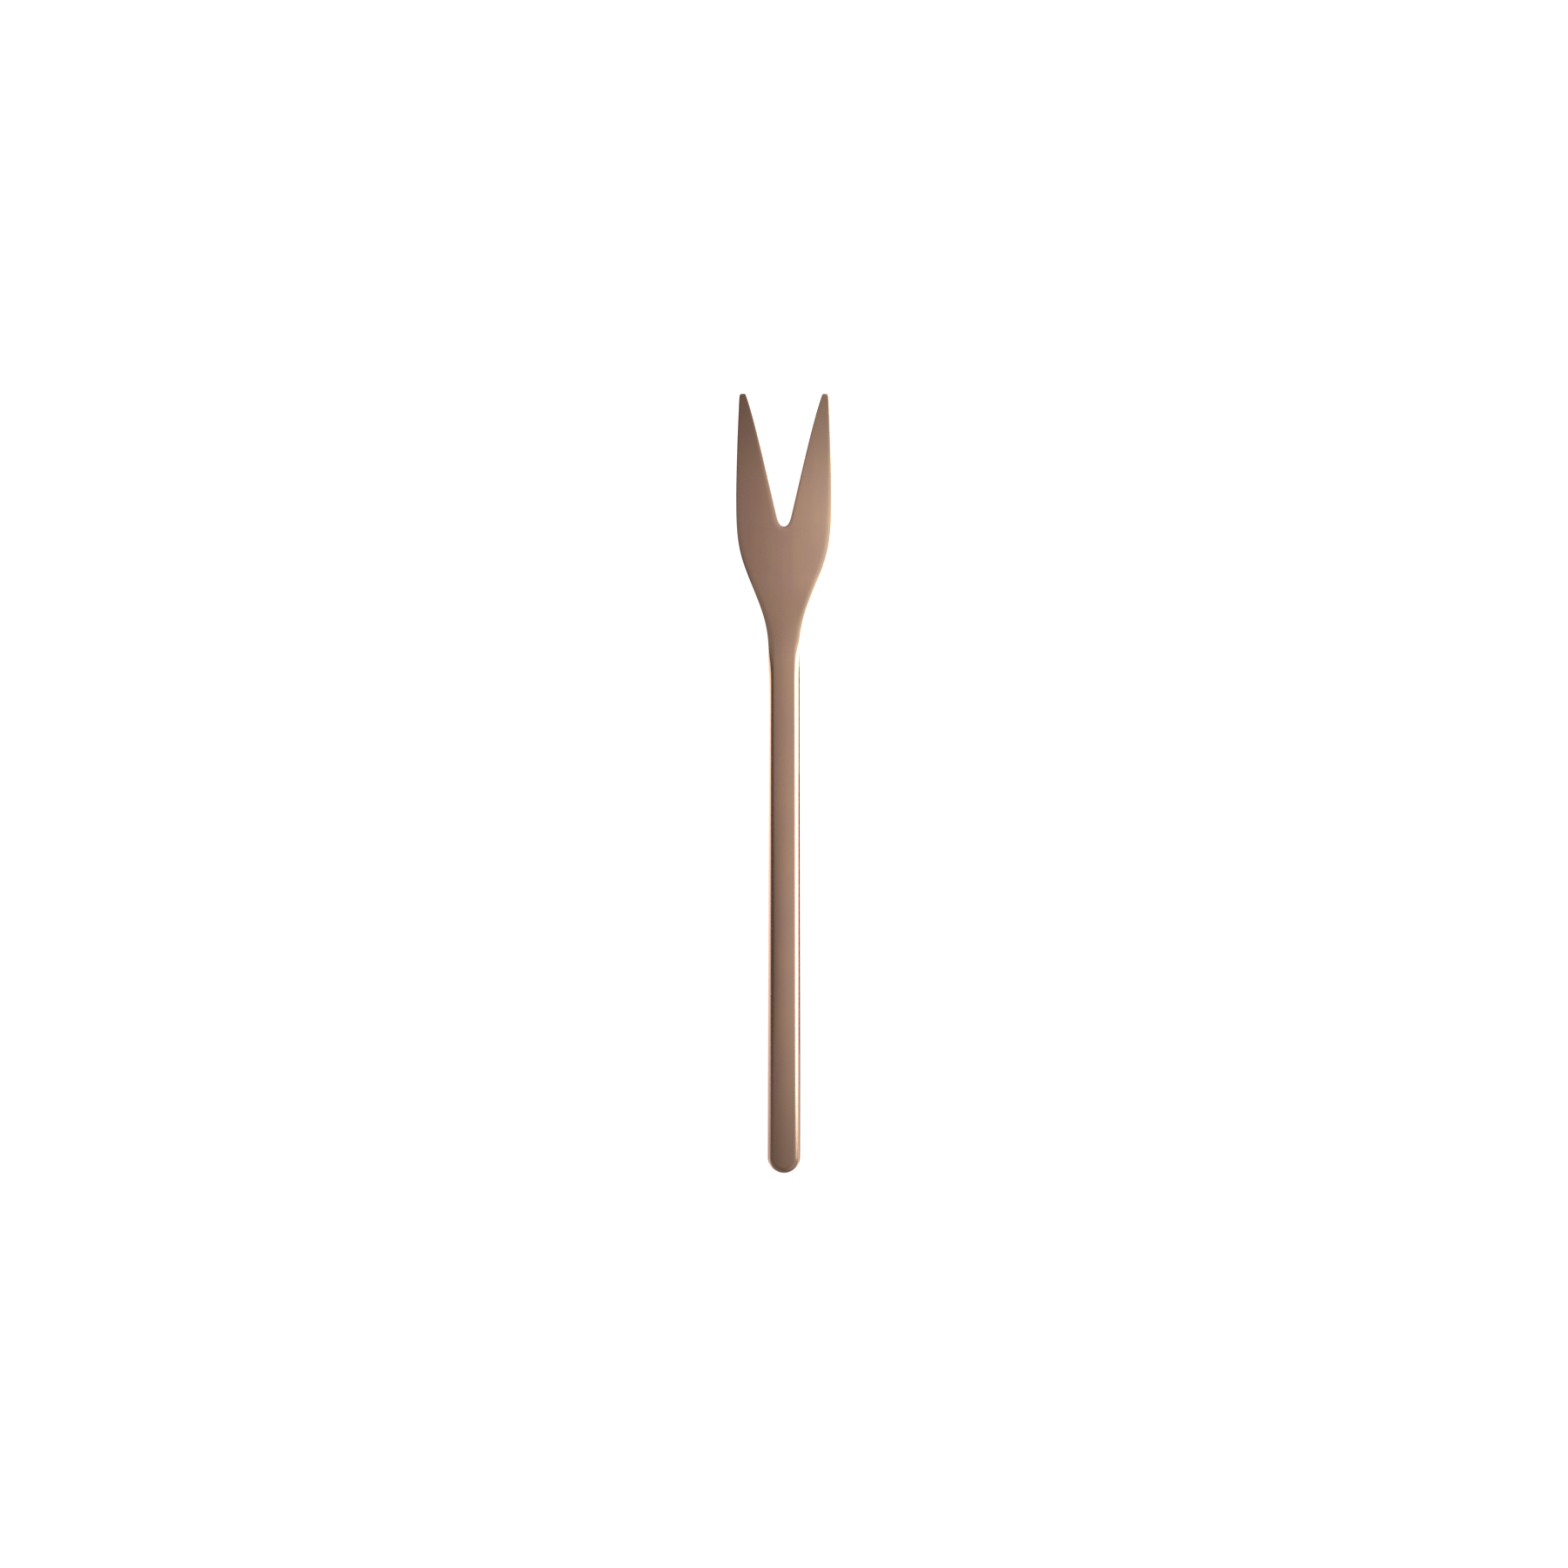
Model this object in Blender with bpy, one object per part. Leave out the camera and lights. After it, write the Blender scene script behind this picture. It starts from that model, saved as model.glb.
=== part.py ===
"""A two-tine cocktail fork with a hollow handle, lying on its back.

The fork lies along Y with its tines towards +Y, its upper face towards +Z and its lowest faces on
z = 0. The origin is under the middle of the fork. Places along the fork are called stations: the
distance from the far end of the handle.

The pieces are the head, which is one forging with its tang, the two stamped halves of the handle,
and the cement inside the handle, which grips the tang.
"""

import math

import bmesh
import bpy
from mathutils import Vector

MM = 0.001

# Lengths along the fork.
HANDLE_LENGTH = 100.4 * MM
HEAD_LENGTH = 49.6 * MM

# Plan view of the head.
HEAD_WIDTH = 18.48 * MM
WIDEST_FROM_TIPS = 19.8 * MM
SHOULDER_WIDTH = 12.64 * MM
SHOULDER_FROM_JOINT = 13.17 * MM
SHOULDER_FLARE = 0.41
TIP_SPACING = 15.74 * MM
TIP_WIDTH = 1.5 * MM
TIP_BLUNTNESS = 0.8
OUTER_EDGE_LEAN = 0.067
NOTCH_DEPTH = 25.4 * MM
NOTCH_BOTTOM_WIDTH = 2.8 * MM
NOTCH_BOTTOM_ROUND = 2.0 * MM
NOTCH_LEAN_AT_BOTTOM = 0.236
NOTCH_LEAN_AT_TIP = 0.358

# Plan view of the handle.
HANDLE_WIDTH_AT_NECK = 6.0 * MM
HANDLE_WIDTH_AT_END = 6.32 * MM

# Side view.
HANDLE_THICKNESS = 3.6 * MM
PALM_THICKNESS = 2.4 * MM
TIP_THICKNESS = 1.9 * MM
HANDLE_LIFT = 2.2 * MM
END_BEND_LENGTH = 45.0 * MM
NECK_BEND_FROM_JOINT = -3.4 * MM
PALM_FROM_JOINT = 15.2 * MM
PALM_LENGTH = 9.6 * MM
TIP_LIFT = 3.0 * MM

# Crowns: how far the faces fall from the middle line to the widest edge.
HEAD_CROWN = 0.45 * MM
HANDLE_CROWN = 0.25 * MM

# Rolled edges, walls and the tang.
HEAD_EDGE_ROLL = 0.3 * MM
HANDLE_EDGE_ROLL = 1.1 * MM
SHELL_WALL = 0.55 * MM
TANG_LENGTH = 36.0 * MM
TANG_WIDTH = 2.8 * MM
TANG_THICKNESS = 1.2 * MM
TANG_ROOT_IN_NECK = 4.0 * MM
FILLER_FROM_MOUTH = 0.6 * MM

# Clearances.
SEAM_GAP = 0.3 * MM
JOINT_GAP = 0.3 * MM
CEMENT_GAP = 0.1 * MM
TANG_END_GAP = 0.5 * MM

# Fineness of the solids.
OUTLINE_STEPS = 7
ROLL_STEPS = 2
BEND_STEP = 3.0 * MM
CROWN_STEP = 2.2 * MM
CUT_MARGIN = 4.0 * MM
ARC = 0.5523

LENGTH = HANDLE_LENGTH + HEAD_LENGTH
NECK_BEND_START = HANDLE_LENGTH + NECK_BEND_FROM_JOINT
PALM_START = HANDLE_LENGTH + PALM_FROM_JOINT
PALM_END = PALM_START + PALM_LENGTH


def ease(share):
    """A smooth step from 0 to 1 as the share goes from 0 to 1."""
    share = min(max(share, 0.0), 1.0)
    return share * share * (3.0 - 2.0 * share)


def thickness_at(station):
    """The fork's thickness on its middle line."""
    if station <= PALM_END:
        share = ease((station - HANDLE_LENGTH) / PALM_FROM_JOINT)
        return HANDLE_THICKNESS + (PALM_THICKNESS - HANDLE_THICKNESS) * share
    share = (station - PALM_END) / (LENGTH - PALM_END)
    return PALM_THICKNESS + (TIP_THICKNESS - PALM_THICKNESS) * share


def underside_at(station):
    """The height of the fork's underside on its middle line."""
    neck_length = PALM_START - NECK_BEND_START
    height = HANDLE_LIFT * (1.0 - ease((station - NECK_BEND_START) / neck_length))
    if station < END_BEND_LENGTH:
        bend_at_rest = 1.0 - HANDLE_EDGE_ROLL / END_BEND_LENGTH
        bend = 1.0 - station / END_BEND_LENGTH
        height -= HANDLE_LIFT * (bend / bend_at_rest) ** 3
    if station > PALM_END:
        height += TIP_LIFT * ((station - PALM_END) / (LENGTH - PALM_END)) ** 2
    return height


def middle_at(station):
    """The height halfway through the fork's thickness."""
    return underside_at(station) + thickness_at(station) / 2.0


def handle_half_width(station):
    """Half the handle's width where its sides are straight."""
    share = station / HANDLE_LENGTH
    width = HANDLE_WIDTH_AT_END + (HANDLE_WIDTH_AT_NECK - HANDLE_WIDTH_AT_END) * share
    return width / 2.0


def bend_head(point):
    """Where a point of the flat head blank goes once the blank is bent and coined to thickness."""
    station = point.y + LENGTH / 2.0
    crown = HEAD_CROWN * (point.x / (HEAD_WIDTH / 2.0)) ** 2
    share = point.z / PALM_THICKNESS + 0.5
    height = underside_at(station) + share * (thickness_at(station) - crown)
    return Vector((point.x, point.y, height))


def bend_tang(point):
    """Where a point of the flat tang, or of its slot, goes: it follows the handle's middle."""
    return Vector((point.x, point.y, point.z + middle_at(point.y + LENGTH / 2.0)))


def bend_handle(point):
    """Where a point of the flat handle goes once its faces are crowned and it is bent."""
    station = point.y + LENGTH / 2.0
    crown = HANDLE_CROWN / (HANDLE_THICKNESS / 2.0) * (point.x / handle_half_width(station)) ** 2
    return Vector((point.x, point.y, point.z * (1.0 - crown) + middle_at(station)))


def remove_objects():
    """Empty the scene."""
    for old in list(bpy.data.objects):
        bpy.data.objects.remove(old, do_unlink=True)


def new_collection(name):
    """A collection in the scene."""
    made = bpy.data.collections.new(name)
    bpy.context.scene.collection.children.link(made)
    return made


def new_material(name, colour, metallic, roughness):
    """A plain Principled material."""
    material = bpy.data.materials.new(name)
    material.use_nodes = True
    shader = material.node_tree.nodes["Principled BSDF"]
    shader.inputs["Base Color"].default_value = (*colour, 1.0)
    shader.inputs["Metallic"].default_value = metallic
    shader.inputs["Roughness"].default_value = roughness
    return material


def knot(x, station, direction, before, after):
    """A point of an outline, with its curve handles along the direction of travel."""
    place = Vector((x, station - LENGTH / 2.0, 0.0))
    along = Vector((*direction, 0.0)).normalized()
    return place, place - along * before, place + along * after


def head_outline():
    """The head's outline, from the neck up one side, round both tines and down the other side."""
    neck = HANDLE_WIDTH_AT_NECK / 2.0
    tip_half = TIP_WIDTH / 2.0
    tip_round = TIP_BLUNTNESS * tip_half
    tip_x = TIP_SPACING / 2.0
    notch_x = NOTCH_BOTTOM_WIDTH / 2.0
    notch_station = LENGTH - NOTCH_DEPTH
    side = [
        (neck, HANDLE_LENGTH - CUT_MARGIN, (0, 1), 0.0, 0.0),
        (neck, HANDLE_LENGTH, (0, 1), 0.0, 5.1 * MM),
        (
            SHOULDER_WIDTH / 2.0,
            HANDLE_LENGTH + SHOULDER_FROM_JOINT,
            (SHOULDER_FLARE, 1),
            5.3 * MM,
            6.5 * MM,
        ),
        (HEAD_WIDTH / 2.0, LENGTH - WIDEST_FROM_TIPS, (0, 1), 8.4 * MM, 4.1 * MM),
        (tip_x + tip_half, LENGTH - tip_half, (-OUTER_EDGE_LEAN, 1), 3.8 * MM, tip_round),
        (tip_x, LENGTH, (-1, 0), tip_round, tip_round),
        (tip_x - tip_half, LENGTH - tip_half, (-NOTCH_LEAN_AT_TIP, -1), tip_round, 4.7 * MM),
        (
            notch_x,
            notch_station + NOTCH_BOTTOM_ROUND,
            (-NOTCH_LEAN_AT_BOTTOM, -1),
            7.1 * MM,
            ARC * NOTCH_BOTTOM_ROUND,
        ),
    ]
    bottom = [(0.0, notch_station, (-1, 0), ARC * notch_x, ARC * notch_x)]
    other = [(-x, at, (way[0], -way[1]), after, before) for x, at, way, before, after in reversed(side)]
    return [knot(*values) for values in side + bottom + other]


def handle_outline(inset, mouth):
    """The handle's outline moved inwards by the inset, with its half-round end, open-ended at the mouth."""
    end = HANDLE_WIDTH_AT_END / 2.0
    radius = end - inset
    mouth_half = handle_half_width(mouth) - inset
    return [
        knot(-mouth_half, mouth, (0, -1), 0.0, 0.0),
        knot(-radius, end, (0, -1), 0.0, ARC * radius),
        knot(0.0, inset, (1, 0), ARC * radius, ARC * radius),
        knot(radius, end, (0, 1), ARC * radius, 0.0),
        knot(mouth_half, mouth, (0, 1), 0.0, 0.0),
    ]


def bake(source, name, group):
    """A new object that holds the evaluated, welded mesh of another one, which is removed."""
    bpy.context.view_layer.update()
    evaluated = source.evaluated_get(bpy.context.evaluated_depsgraph_get())
    mesh = bpy.data.meshes.new_from_object(evaluated)
    mesh.name = name
    built = bmesh.new()
    built.from_mesh(mesh)
    bmesh.ops.remove_doubles(built, verts=built.verts, dist=0.001 * MM)
    bmesh.ops.recalc_face_normals(built, faces=built.faces)
    built.to_mesh(mesh)
    built.free()
    made = bpy.data.objects.new(name, mesh)
    made.matrix_world = source.matrix_world.copy()
    group.objects.link(made)
    bpy.data.objects.remove(source, do_unlink=True)
    return made


def rolled_plate(name, outline, thickness, roll, group):
    """A flat plate of the outline's shape with rolled-over edges, centred on z = 0."""
    curve = bpy.data.curves.new(name, "CURVE")
    curve.dimensions = "2D"
    curve.fill_mode = "BOTH"
    curve.resolution_u = OUTLINE_STEPS
    curve.extrude = thickness / 2.0 - roll
    curve.bevel_depth = roll
    curve.bevel_resolution = ROLL_STEPS
    curve.offset = -roll
    spline = curve.splines.new("BEZIER")
    spline.bezier_points.add(len(outline) - 1)
    spline.use_cyclic_u = True
    for point, (place, before, after) in zip(spline.bezier_points, outline):
        point.handle_left_type = "FREE"
        point.handle_right_type = "FREE"
        point.co = place
        point.handle_left = before
        point.handle_right = after
    flat = bpy.data.objects.new(name + "_curve", curve)
    group.objects.link(flat)
    return bake(flat, name, group)


def box(name, half_width, stations, heights, group):
    """A box across the fork between two stations and two heights."""
    made = bpy.data.objects.new(name, bpy.data.meshes.new(name))
    group.objects.link(made)
    built = bmesh.new()
    bmesh.ops.create_cube(built, size=1.0)
    size = (2.0 * half_width, stations[1] - stations[0], heights[1] - heights[0])
    bmesh.ops.scale(built, vec=size, verts=built.verts)
    middle = ((stations[0] + stations[1]) / 2.0 - LENGTH / 2.0, (heights[0] + heights[1]) / 2.0)
    bmesh.ops.translate(built, vec=(0.0, *middle), verts=built.verts)
    built.to_mesh(made.data)
    built.free()
    return made


def as_cutter(shape):
    """Mark an object as a cutter."""
    shape.hide_render = True
    shape.display_type = "WIRE"
    return shape


def add_boolean(target, operation, cutter):
    """Cut or join one object with another."""
    modifier = target.modifiers.new(cutter.name, "BOOLEAN")
    modifier.operation = operation
    modifier.solver = "EXACT"
    modifier.object = as_cutter(cutter)


def bend(shape, rule, crown_half_width=0.0):
    """Slice a flat solid across its length, and across its width where it is crowned, and bend it."""
    built = bmesh.new()
    built.from_mesh(shape.data)
    low = min(vertex.co.y for vertex in built.verts)
    high = max(vertex.co.y for vertex in built.verts)
    slices = [(Vector((0.0, -LENGTH / 2.0 + at, 0.0)), Vector((0.0, 1.0, 0.0))) for at in bend_stations()]
    slices = [(place, normal) for place, normal in slices if low < place.y < high]
    crown_count = int(crown_half_width / CROWN_STEP)
    for index in range(-crown_count, crown_count + 1):
        slices.append((Vector((index * CROWN_STEP, 0.0, 0.0)), Vector((1.0, 0.0, 0.0))))
    for place, normal in slices:
        parts = built.verts[:] + built.edges[:] + built.faces[:]
        bmesh.ops.bisect_plane(built, geom=parts, dist=0.001 * MM, plane_co=place, plane_no=normal)
    for vertex in built.verts:
        vertex.co = rule(vertex.co)
    bmesh.ops.triangulate(built, faces=built.faces)
    built.to_mesh(shape.data)
    built.free()
    return shape


def bend_stations():
    """The stations where a solid is sliced: evenly along each stretch that bends."""
    stretches = [(0.0, END_BEND_LENGTH), (NECK_BEND_START, PALM_START), (PALM_END, LENGTH)]
    stations = []
    for start, stop in stretches:
        count = math.ceil((stop - start) / BEND_STEP)
        stations += [start + (stop - start) * index / count for index in range(count + 1)]
    return stations


def finish(shape, material, parent):
    """Shade a piece, give it its material and hang it on the fork's empty."""
    shape.data.materials.clear()
    shape.data.materials.append(material)
    shape.data.shade_smooth()
    shape.data.set_sharp_from_angle(angle=math.radians(35.0))
    shape.parent = parent
    return shape


def make_head(parts, cutters):
    """The tines, palm and neck from one rolled-edge plate, with the tang joined to the neck."""
    plate = rolled_plate("head_blank", head_outline(), PALM_THICKNESS, HEAD_EDGE_ROLL, parts)
    trim_stations = (HANDLE_LENGTH - 2.0 * CUT_MARGIN, HANDLE_LENGTH + JOINT_GAP / 2.0)
    trim = box("neck_trim", HEAD_WIDTH, trim_stations, (-PALM_THICKNESS, PALM_THICKNESS), cutters)
    add_boolean(plate, "DIFFERENCE", trim)
    head = bend(bake(plate, "fork_head", parts), bend_head, HEAD_WIDTH / 2.0)
    stations = (HANDLE_LENGTH - TANG_LENGTH, HANDLE_LENGTH + TANG_ROOT_IN_NECK)
    heights = (-TANG_THICKNESS / 2.0, TANG_THICKNESS / 2.0)
    tang = bend(box("tang_blank", TANG_WIDTH / 2.0, stations, heights, cutters), bend_tang)
    add_boolean(head, "UNION", tang)
    return head


def make_shell(name, side, parts, cutters):
    """One stamped half of the handle: side is 1 for the upper half and -1 for the lower one."""
    mouth = HANDLE_LENGTH - JOINT_GAP / 2.0
    past_mouth = HANDLE_LENGTH + CUT_MARGIN
    outer = rolled_plate(
        name + "_outside", handle_outline(0.0, past_mouth), HANDLE_THICKNESS, HANDLE_EDGE_ROLL, parts
    )
    inner = rolled_plate(
        name + "_inside",
        handle_outline(SHELL_WALL, past_mouth + CUT_MARGIN),
        HANDLE_THICKNESS - 2.0 * SHELL_WALL,
        HANDLE_EDGE_ROLL - SHELL_WALL,
        cutters,
    )
    heights = sorted((side * SEAM_GAP / 2.0, side * HANDLE_THICKNESS))
    half = box(name + "_half", HANDLE_WIDTH_AT_END, (-CUT_MARGIN, mouth), heights, cutters)
    add_boolean(outer, "DIFFERENCE", inner)
    add_boolean(outer, "INTERSECT", half)
    return bend(bake(outer, name, parts), bend_handle, HANDLE_WIDTH_AT_END / 2.0)


def make_filler(parts, cutters):
    """The cement that fills the handle, with the slot that the tang sits in."""
    inset = SHELL_WALL + CEMENT_GAP
    face = HANDLE_LENGTH - JOINT_GAP / 2.0 - FILLER_FROM_MOUTH
    plate = rolled_plate(
        "filler_blank",
        handle_outline(inset, HANDLE_LENGTH + CUT_MARGIN),
        HANDLE_THICKNESS - 2.0 * inset,
        HANDLE_EDGE_ROLL - inset,
        parts,
    )
    trim_stations = (face, HANDLE_LENGTH + 2.0 * CUT_MARGIN)
    trim = box("filler_trim", HANDLE_WIDTH_AT_END, trim_stations, (-HANDLE_THICKNESS, HANDLE_THICKNESS), cutters)
    add_boolean(plate, "DIFFERENCE", trim)
    filler = bend(bake(plate, "handle_filler", parts), bend_handle, HANDLE_WIDTH_AT_END / 2.0)
    half_height = TANG_THICKNESS / 2.0 + CEMENT_GAP
    slot_stations = (HANDLE_LENGTH - TANG_LENGTH - TANG_END_GAP, HANDLE_LENGTH + CUT_MARGIN)
    slot = box(
        "tang_slot", TANG_WIDTH / 2.0 + CEMENT_GAP, slot_stations, (-half_height, half_height), cutters
    )
    add_boolean(filler, "DIFFERENCE", bend(slot, bend_tang))
    return filler


def main():
    """Build the fork."""
    remove_objects()
    parts = new_collection("cocktail_fork")
    cutters = new_collection("cutters")
    frame = bpy.data.objects.new("fork_frame", None)
    parts.objects.link(frame)

    plated_head = new_material("satin_bronze_head", (0.46, 0.28, 0.20), 1.0, 0.30)
    plated_handle = new_material("satin_bronze_handle", (0.45, 0.27, 0.19), 1.0, 0.28)
    cement = new_material("handle_cement", (0.55, 0.53, 0.49), 0.0, 0.85)

    finish(make_head(parts, cutters), plated_head, frame)
    finish(make_shell("handle_shell_top", 1, parts, cutters), plated_handle, frame)
    finish(make_shell("handle_shell_bottom", -1, parts, cutters), plated_handle, frame)
    finish(make_filler(parts, cutters), cement, frame)


main()
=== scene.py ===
"""The finished look of a two-tine cocktail fork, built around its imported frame.

The fork lies on its back along Y with its tines towards +Y. Sizes are in metres. Places along the
fork are called stations: the distance from the far end of the handle. The head and the two halves
of the handle are made again here as fine meshes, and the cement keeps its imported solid.
"""

from __future__ import annotations

import logging
import math
from collections.abc import Mapping, Sequence
from dataclasses import dataclass, field
from enum import Enum
from typing import Any

import bmesh
import bpy
import numpy as np
from mathutils import Matrix, Vector

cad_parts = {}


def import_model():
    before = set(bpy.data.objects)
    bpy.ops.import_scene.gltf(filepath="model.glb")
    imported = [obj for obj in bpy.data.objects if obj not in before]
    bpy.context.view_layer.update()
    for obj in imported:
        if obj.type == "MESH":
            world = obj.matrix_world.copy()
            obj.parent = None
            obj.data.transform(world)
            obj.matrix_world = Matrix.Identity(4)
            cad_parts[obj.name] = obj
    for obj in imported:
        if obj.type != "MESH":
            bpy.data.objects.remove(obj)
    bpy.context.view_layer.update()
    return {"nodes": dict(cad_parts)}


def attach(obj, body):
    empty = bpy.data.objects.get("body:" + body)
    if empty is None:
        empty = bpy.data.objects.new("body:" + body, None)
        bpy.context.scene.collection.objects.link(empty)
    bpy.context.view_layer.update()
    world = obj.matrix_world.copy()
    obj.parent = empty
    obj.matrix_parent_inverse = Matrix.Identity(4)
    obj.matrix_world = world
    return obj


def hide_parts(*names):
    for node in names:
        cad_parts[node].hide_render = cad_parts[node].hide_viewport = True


LOG = logging.getLogger("cocktail_fork")
MM = 0.001
WELD = 0.002 * MM
EDGE_ATTRIBUTE = "edge_wear"
QUARTER_ARC = 0.5523
SHARP_ANGLE = 40.0

Point = tuple[float, float]
Colour = tuple[float, float, float]
EdgePoint = tuple[np.ndarray, np.ndarray]
RowPoint = tuple[Point, float, float]


def ease(share: float) -> float:
    """Smooth a share between 0 and 1.

    Args:
        share: Any number; it is held between 0 and 1.

    Returns:
        A share that starts and ends with no slope.
    """
    share = min(max(share, 0.0), 1.0)
    return share * share * (3.0 - 2.0 * share)


def mix(first: float, second: float, share: float) -> float:
    """Return the value a share of the way from the first to the second."""
    return first + (second - first) * share


# ---------------------------------------------------------------------------------------------
# Node trees
# ---------------------------------------------------------------------------------------------


@dataclass(frozen=True)
class Signal:
    """One output of a node, which Python's operators work on."""

    graph: "Graph"
    socket: bpy.types.NodeSocket

    def __add__(self, other: "Value") -> "Signal":
        """Add."""
        return self.graph.math("ADD", self, other)

    def __radd__(self, other: "Value") -> "Signal":
        """Add, from the right."""
        return self.graph.math("ADD", other, self)

    def __sub__(self, other: "Value") -> "Signal":
        """Subtract."""
        return self.graph.math("SUBTRACT", self, other)

    def __rsub__(self, other: "Value") -> "Signal":
        """Subtract from the other value."""
        return self.graph.math("SUBTRACT", other, self)

    def __mul__(self, other: "Value") -> "Signal":
        """Multiply."""
        return self.graph.math("MULTIPLY", self, other)

    def __rmul__(self, other: "Value") -> "Signal":
        """Multiply, from the right."""
        return self.graph.math("MULTIPLY", other, self)

    def __truediv__(self, other: "Value") -> "Signal":
        """Divide."""
        return self.graph.math("DIVIDE", self, other)

    def __rtruediv__(self, other: "Value") -> "Signal":
        """Divide the other value."""
        return self.graph.math("DIVIDE", other, self)

    def __pow__(self, other: "Value") -> "Signal":
        """Raise to a power."""
        return self.graph.math("POWER", self, other)

    def __abs__(self) -> "Signal":
        """Drop the sign."""
        return self.graph.math("ABSOLUTE", self)

    def __neg__(self) -> "Signal":
        """Turn the sign round."""
        return self.graph.math("MULTIPLY", self, -1.0)


Value = Signal | float


class Graph:
    """A node tree that is written as Python expressions."""

    def __init__(self, tree: bpy.types.NodeTree) -> None:
        """Wrap a node tree."""
        self.tree = tree

    def node(
        self,
        kind: str,
        settings: Mapping[str, Any] | None = None,
        inputs: Mapping[str | int, Any] | None = None,
    ) -> bpy.types.Node:
        """Add a node.

        Args:
            kind: The node's type.
            settings: Its own settings, set first. "stops" gives a colour ramp's stops.
            inputs: A value, or a signal to link, for each socket by name or number.

        Returns:
            The new node.
        """
        made = self.tree.nodes.new(kind)
        for name, value in (settings or {}).items():
            if name == "stops":
                self._set_stops(made.color_ramp, value)
            else:
                setattr(made, name, value)
        for name, value in (inputs or {}).items():
            if isinstance(value, Signal):
                self.tree.links.new(value.socket, made.inputs[name])
            else:
                made.inputs[name].default_value = value
        return made

    @staticmethod
    def _set_stops(ramp: bpy.types.ColorRamp, stops: Sequence[tuple[float, Colour]]) -> None:
        """Give a ramp its stops.

        Args:
            ramp: The ramp, which has fewer stops than it needs.
            stops: Each stop's place, from 0 to 1, and its colour.
        """
        while len(ramp.elements) < len(stops):
            ramp.elements.new(1.0)
        for element, (place, colour) in zip(ramp.elements, stops):
            element.position = place
            element.color = (*colour, 1.0)

    def signal(
        self,
        kind: str,
        settings: Mapping[str, Any] | None = None,
        inputs: Mapping[str | int, Any] | None = None,
        output: str | int = 0,
    ) -> Signal:
        """Add a node and return one of its outputs as a signal."""
        return Signal(self, self.node(kind, settings, inputs).outputs[output])

    def math(self, operation: str, *values: Value) -> Signal:
        """Add a Math node and return its result."""
        return self.signal("ShaderNodeMath", {"operation": operation}, dict(enumerate(values)))

    def vector(self, operation: str, *vectors: Signal, **others: Value) -> Signal:
        """Add a Vector Math node and return its vector."""
        inputs = {**dict(enumerate(vectors)), **others}
        return self.signal("ShaderNodeVectorMath", {"operation": operation}, inputs)

    def clamp(self, value: Value) -> Signal:
        """Hold a value between 0 and 1."""
        return self.signal("ShaderNodeClamp", inputs={"Value": value})

    def split(self, vector: Signal) -> tuple[Signal, Signal, Signal]:
        """Return a vector's three numbers."""
        made = self.node("ShaderNodeSeparateXYZ", inputs={0: vector})
        return tuple(Signal(self, output) for output in made.outputs)

    def join(self, x: Value, y: Value, z: Value) -> Signal:
        """Return a vector of three numbers."""
        return self.signal("ShaderNodeCombineXYZ", inputs={0: x, 1: y, 2: z})

    def link(self, value: Signal, target: bpy.types.NodeSocket) -> None:
        """Link a signal to a socket."""
        self.tree.links.new(value.socket, target)


# ---------------------------------------------------------------------------------------------
# Finishes
# ---------------------------------------------------------------------------------------------


class Slot(Enum):
    """The record's material slots."""

    HEAD = "satin_bronze_head"
    HANDLE = "satin_bronze_handle"
    CEMENT = "handle_cement"


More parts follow.
